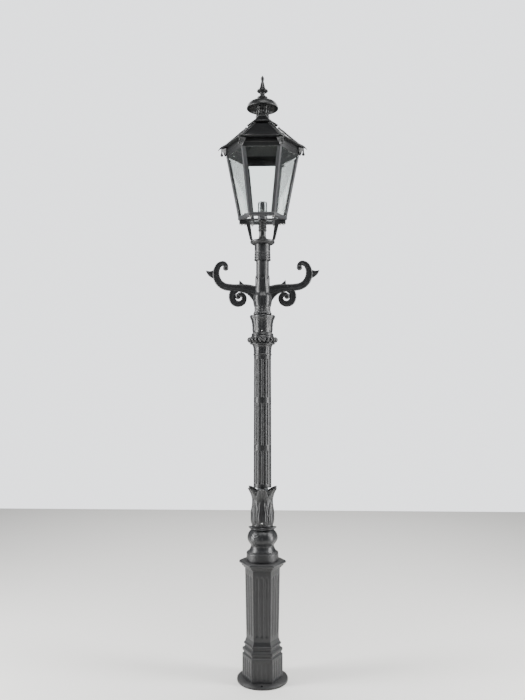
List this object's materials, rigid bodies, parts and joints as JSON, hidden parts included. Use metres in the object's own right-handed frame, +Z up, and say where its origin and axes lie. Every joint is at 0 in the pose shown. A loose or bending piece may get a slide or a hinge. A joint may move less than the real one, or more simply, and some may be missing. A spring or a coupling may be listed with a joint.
{
  "type": "street lantern post",
  "caption": "Hexagonal glazed street lantern with hinged roof on an ornamental cast post with scroll bracket and hexagonal pedestal.",
  "frame": {"origin": "centre of the anchor circle on the underside of the foot flange", "axes": "+Z up the post, -Y the front flat of the hexagons, X along the scroll bracket"},
  "size_m": [0.642, 0.4465, 3.4],
  "materials": {
    "casting": "semi-gloss black paint over a sand casting",
    "lantern_paint": "semi-gloss black powder coat",
    "clear_glass": "clear float glass",
    "stainless": "bright turned",
    "galvanised": "hot-dip galvanised",
    "grey_plastic": "moulded, satin",
    "black_plastic": "moulded, knurled",
    "cable_sheath": "extruded sheath"
  },
  "bodies": {
    "post": {"foot_flange": "casting", "plinth": "casting", "pedestal_shaft": "casting", "door_hinge_pins": "stainless", "pedestal_cap": "casting", "mounting_board": "galvanised", "fuse_cutout": "grey_plastic", "core_tube": "galvanised", "drum_collar": "casting", "leaf_knop": "casting", "wavy_saucer": "casting", "leaf_vase": "casting", "fluted_column": "casting", "column_bell": "casting", "gadroon_ring": "casting", "bracket_sleeve": "casting", "bracket_hub": "casting", "scroll_arm_left": "casting", "scroll_arm_right": "casting", "spigot_tube": "casting", "lantern_collar": "casting", "cradle_disc": "casting", "cradle_arm_left": "casting", "cradle_arm_right": "casting", "stem_pipe": "lantern_paint", "cable_gland": "black_plastic", "supply_cable": "cable_sheath", "lantern_ring": "lantern_paint", "glazing_beads": "lantern_paint", "pane_clips": "stainless", "fascia_band": "lantern_paint", "eave_corbels": "lantern_paint", "drop_balls": "lantern_paint", "lamp_holder": "grey_plastic", "roof_hinge_brackets": "lantern_paint", "roof_hinge_pins": "stainless", "post_screws": "stainless", "collar_screws": "stainless", "ring_fixings": "stainless", "corner_post_1": "lantern_paint", "glass_pane_1": "clear_glass", "corner_post_2": "lantern_paint", "glass_pane_2": "clear_glass", "corner_post_3": "lantern_paint", "glass_pane_3": "clear_glass", "corner_post_4": "lantern_paint", "glass_pane_4": "clear_glass", "corner_post_5": "lantern_paint", "glass_pane_5": "clear_glass", "corner_post_6": "lantern_paint", "glass_pane_6": "clear_glass"},
    "roof": {"roof_shell": "lantern_paint", "hip_ribs": "lantern_paint", "roof_skirt": "lantern_paint", "vent_crown": "lantern_paint", "hood": "lantern_paint", "finial": "lantern_paint", "roof_hinge_straps": "lantern_paint"},
    "door": {"access_door": "casting"},
    "lock": {"door_lock": "stainless"}
  },
  "joints": [
    {"name": "roof_hinge", "type": "hinge", "parent": "post", "child": "roof", "pos_m": [0, 0.22151, 2.9914], "axis": [-1, 0, 0], "range_deg": [0, 95]},
    {"name": "door_hinge", "type": "hinge", "parent": "post", "child": "door", "pos_m": [-0.036, 0.08989, 0.405], "axis": [0, 0, 1], "range_deg": [0, 110]},
    {"name": "lock_turn", "type": "hinge", "parent": "door", "child": "lock", "pos_m": [0.016, 0.08989, 0.405], "axis": [0, -1, 0], "range_deg": [0, 90]}
  ]
}
